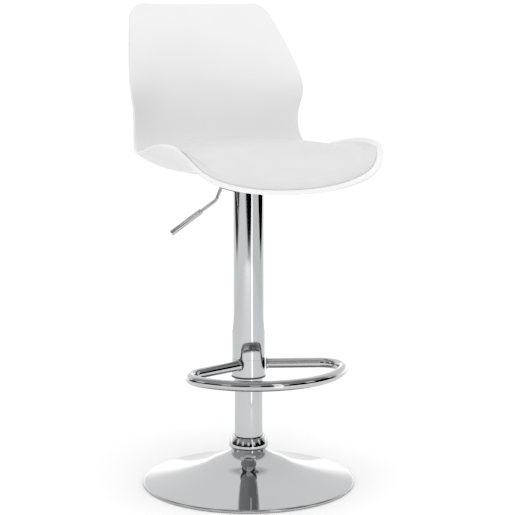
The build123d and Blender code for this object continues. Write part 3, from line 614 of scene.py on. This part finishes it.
# ---- studio --------------------------------------------------------------------------------
def floor(centre=(-0.25, -0.6), radius=2.1, segments=128):
    """Plain pale floor, as a disc that reaches further in front of the stool than behind it."""
    n = Nodes("pale_floor")
    tone = n.colours(n.noise(2, 2), (0.93, 0.93, 0.93), (0.95, 0.95, 0.95))
    material = n.finish(Base_Color=tone, Roughness=n.ramp(n.noise(8, 2), 0.75, 0.85),
                        Specular_IOR_Level=0.2)
    mesh = bpy.data.meshes.new("floor")
    turns = np.linspace(0, 2 * pi, segments, endpoint=False)
    mesh.from_pydata([(radius * cos(turn) + centre[0], radius * sin(turn) + centre[1], 0)
                      for turn in turns], [], [range(segments)])
    made = bpy.data.objects.new("floor", mesh)
    bpy.context.scene.collection.objects.link(made)
    mesh.materials.append(material)


def studio_world():
    """White surround for the eye and for diffuse light. Mirrors see a dark room in front of the
    stool instead, above a toothed edge near the horizon. Pale panes, a half-dark ceiling and a
    low, narrow strip lighten it. Behind the stool they see a wall that is brightest low down."""
    world = bpy.data.worlds.new("studio")
    world.use_nodes = True
    bpy.context.scene.world = world
    tree = world.node_tree

    def sums(operation, a, b=0.0, c=0.0):
        """Result of a Math node, from numbers or other nodes' outputs."""
        made = tree.nodes.new("ShaderNodeMath")
        made.operation = operation
        for socket, value in zip(made.inputs, (a, b, c)):
            connect(tree, socket, value)
        return made.outputs["Value"]

    def eased(value, low, high):
        """0 below low and 1 above high, eased between them."""
        made = tree.nodes.new("ShaderNodeMapRange")
        made.interpolation_type = "SMOOTHSTEP"
        for name, setting in (("Value", value), ("From Min", low), ("From Max", high)):
            connect(tree, made.inputs[name], setting)
        return made.outputs["Result"]

    def mixed(share, first, second):
        """The first value where the share is 0, and the second where it is 1."""
        made = tree.nodes.new("ShaderNodeMix")
        for name, setting in (("Factor", share), ("A", first), ("B", second)):
            connect(tree, made.inputs[name], setting)
        return made.outputs["Result"]

    # Directions in the camera's terms: turn is the angle to its right, height is upwards.
    direction = tree.nodes.new("ShaderNodeTexCoord").outputs["Generated"]
    turned = tree.nodes.new("ShaderNodeVectorRotate")
    turned.rotation_type = "Z_AXIS"
    turned.inputs["Angle"].default_value = radians(22.5)
    connect(tree, turned.inputs["Vector"], direction)
    split = tree.nodes.new("ShaderNodeSeparateXYZ")
    connect(tree, split.inputs["Vector"], turned.outputs["Vector"])
    across, height = split.outputs["X"], split.outputs["Z"]
    ahead = sums("MULTIPLY", split.outputs["Y"], -1.0)
    turn = sums("ARCTAN2", across, ahead)

    # The dark room: how far each direction lies in it.
    teeth = sums("COSINE", sums("MULTIPLY", sums("SUBTRACT", turn, radians(4)), 3.9))
    lower = sums("MULTIPLY_ADD", sums("MULTIPLY_ADD", teeth, 0.5, 0.5), -0.075, -0.085)
    above = eased(sums("SUBTRACT", height, lower), 0.0, 0.018)
    room = sums("MULTIPLY", above, eased(ahead, -0.5, -0.3))

    # What lightens the room.
    ceiling = eased(height, 0.2, 0.5)
    pane_columns = eased(sums("COSINE", sums("MULTIPLY", turn, 10.0)), 0.2, 0.7)
    pane_rows = sums("SUBTRACT", eased(height, 0.1, 0.2), eased(height, 0.4, 0.55))
    panes = sums("MULTIPLY", pane_columns, pane_rows)
    off_strip = eased(sums("ABSOLUTE", sums("SUBTRACT", turn, radians(22))), 0.02, 0.05)
    strip_height = sums("SUBTRACT", 1.0, eased(height, 0.0, 0.1))
    strip = sums("MULTIPLY", sums("SUBTRACT", 1.0, off_strip), strip_height)
    light = sums("ADD", sums("ADD", sums("MULTIPLY", strip, 0.9), sums("MULTIPLY", panes, 0.75)),
                 sums("MULTIPLY", ceiling, 0.42))
    shade = sums("MULTIPLY", room, sums("SUBTRACT", 1.03, light))

    # The wall behind, a little dimmer on the camera's right.
    low = sums("SUBTRACT", 1.0, eased(height, 0.05, 0.3))
    back = sums("MULTIPLY", eased(sums("MULTIPLY", ahead, -1.0), 0.3, 0.85), low)
    right = eased(across, -0.5, 0.6)
    wall = sums("ADD", sums("MULTIPLY_ADD", back, 0.75, 1.06), sums("MULTIPLY", right, -0.12))

    rays = tree.nodes.new("ShaderNodeLightPath").outputs
    mirrored = mixed(rays["Is Glossy Ray"], 0.80, sums("SUBTRACT", wall, shade))
    seen = mixed(rays["Is Camera Ray"], mirrored, 1.05)
    background = tree.nodes["Background"]
    connect(tree, background.inputs["Strength"], seen)
    background.inputs["Color"].default_value = (1, 1, 1, 1)


def soft_light(name, place, target, size, power):
    """Area light aimed at a point, in metres and watts. Mirrors don't see it."""
    lamp = bpy.data.lights.new(name, "AREA")
    lamp.shape = "RECTANGLE"
    lamp.size, lamp.size_y = size
    lamp.energy = power
    made = bpy.data.objects.new(name, lamp)
    bpy.context.scene.collection.objects.link(made)
    made.location = place
    made.rotation_euler = (Vector(target) - Vector(place)).to_track_quat("-Z", "Y").to_euler()
    made.visible_glossy = False
    return made


def camera(place=(-1.120, -2.704, 0.886), pitch=radians(8.83), yaw=radians(-22.83)):
    """The photograph's view: from the front, on the sitter's right, slightly from above."""
    data = bpy.data.cameras.new("camera")
    data.lens = 111.07
    data.sensor_width = 36.0
    made = bpy.data.objects.new("camera", data)
    bpy.context.scene.collection.objects.link(made)
    made.location = place
    made.rotation_euler = (pi / 2 - pitch, 0, yaw)
    bpy.context.scene.camera = made


floor()
studio_world()
soft_light("overhead", (0, 0, 5), (0, 0, 0), (3.0, 3.0), 88)
soft_light("key", (-1.4, -3.0, 1.2), (0, 0, 0.7), (1.8, 1.8), 30)
strip = soft_light("strip", (0.02, -0.62, 0.37), (0, 0, 0.37), (0.10, 0.72), 0.24)
strip.visible_glossy = True     # the one lamp that the chrome does mirror
strip.visible_camera = False
camera()
bpy.context.scene.view_settings.view_transform = "Standard"
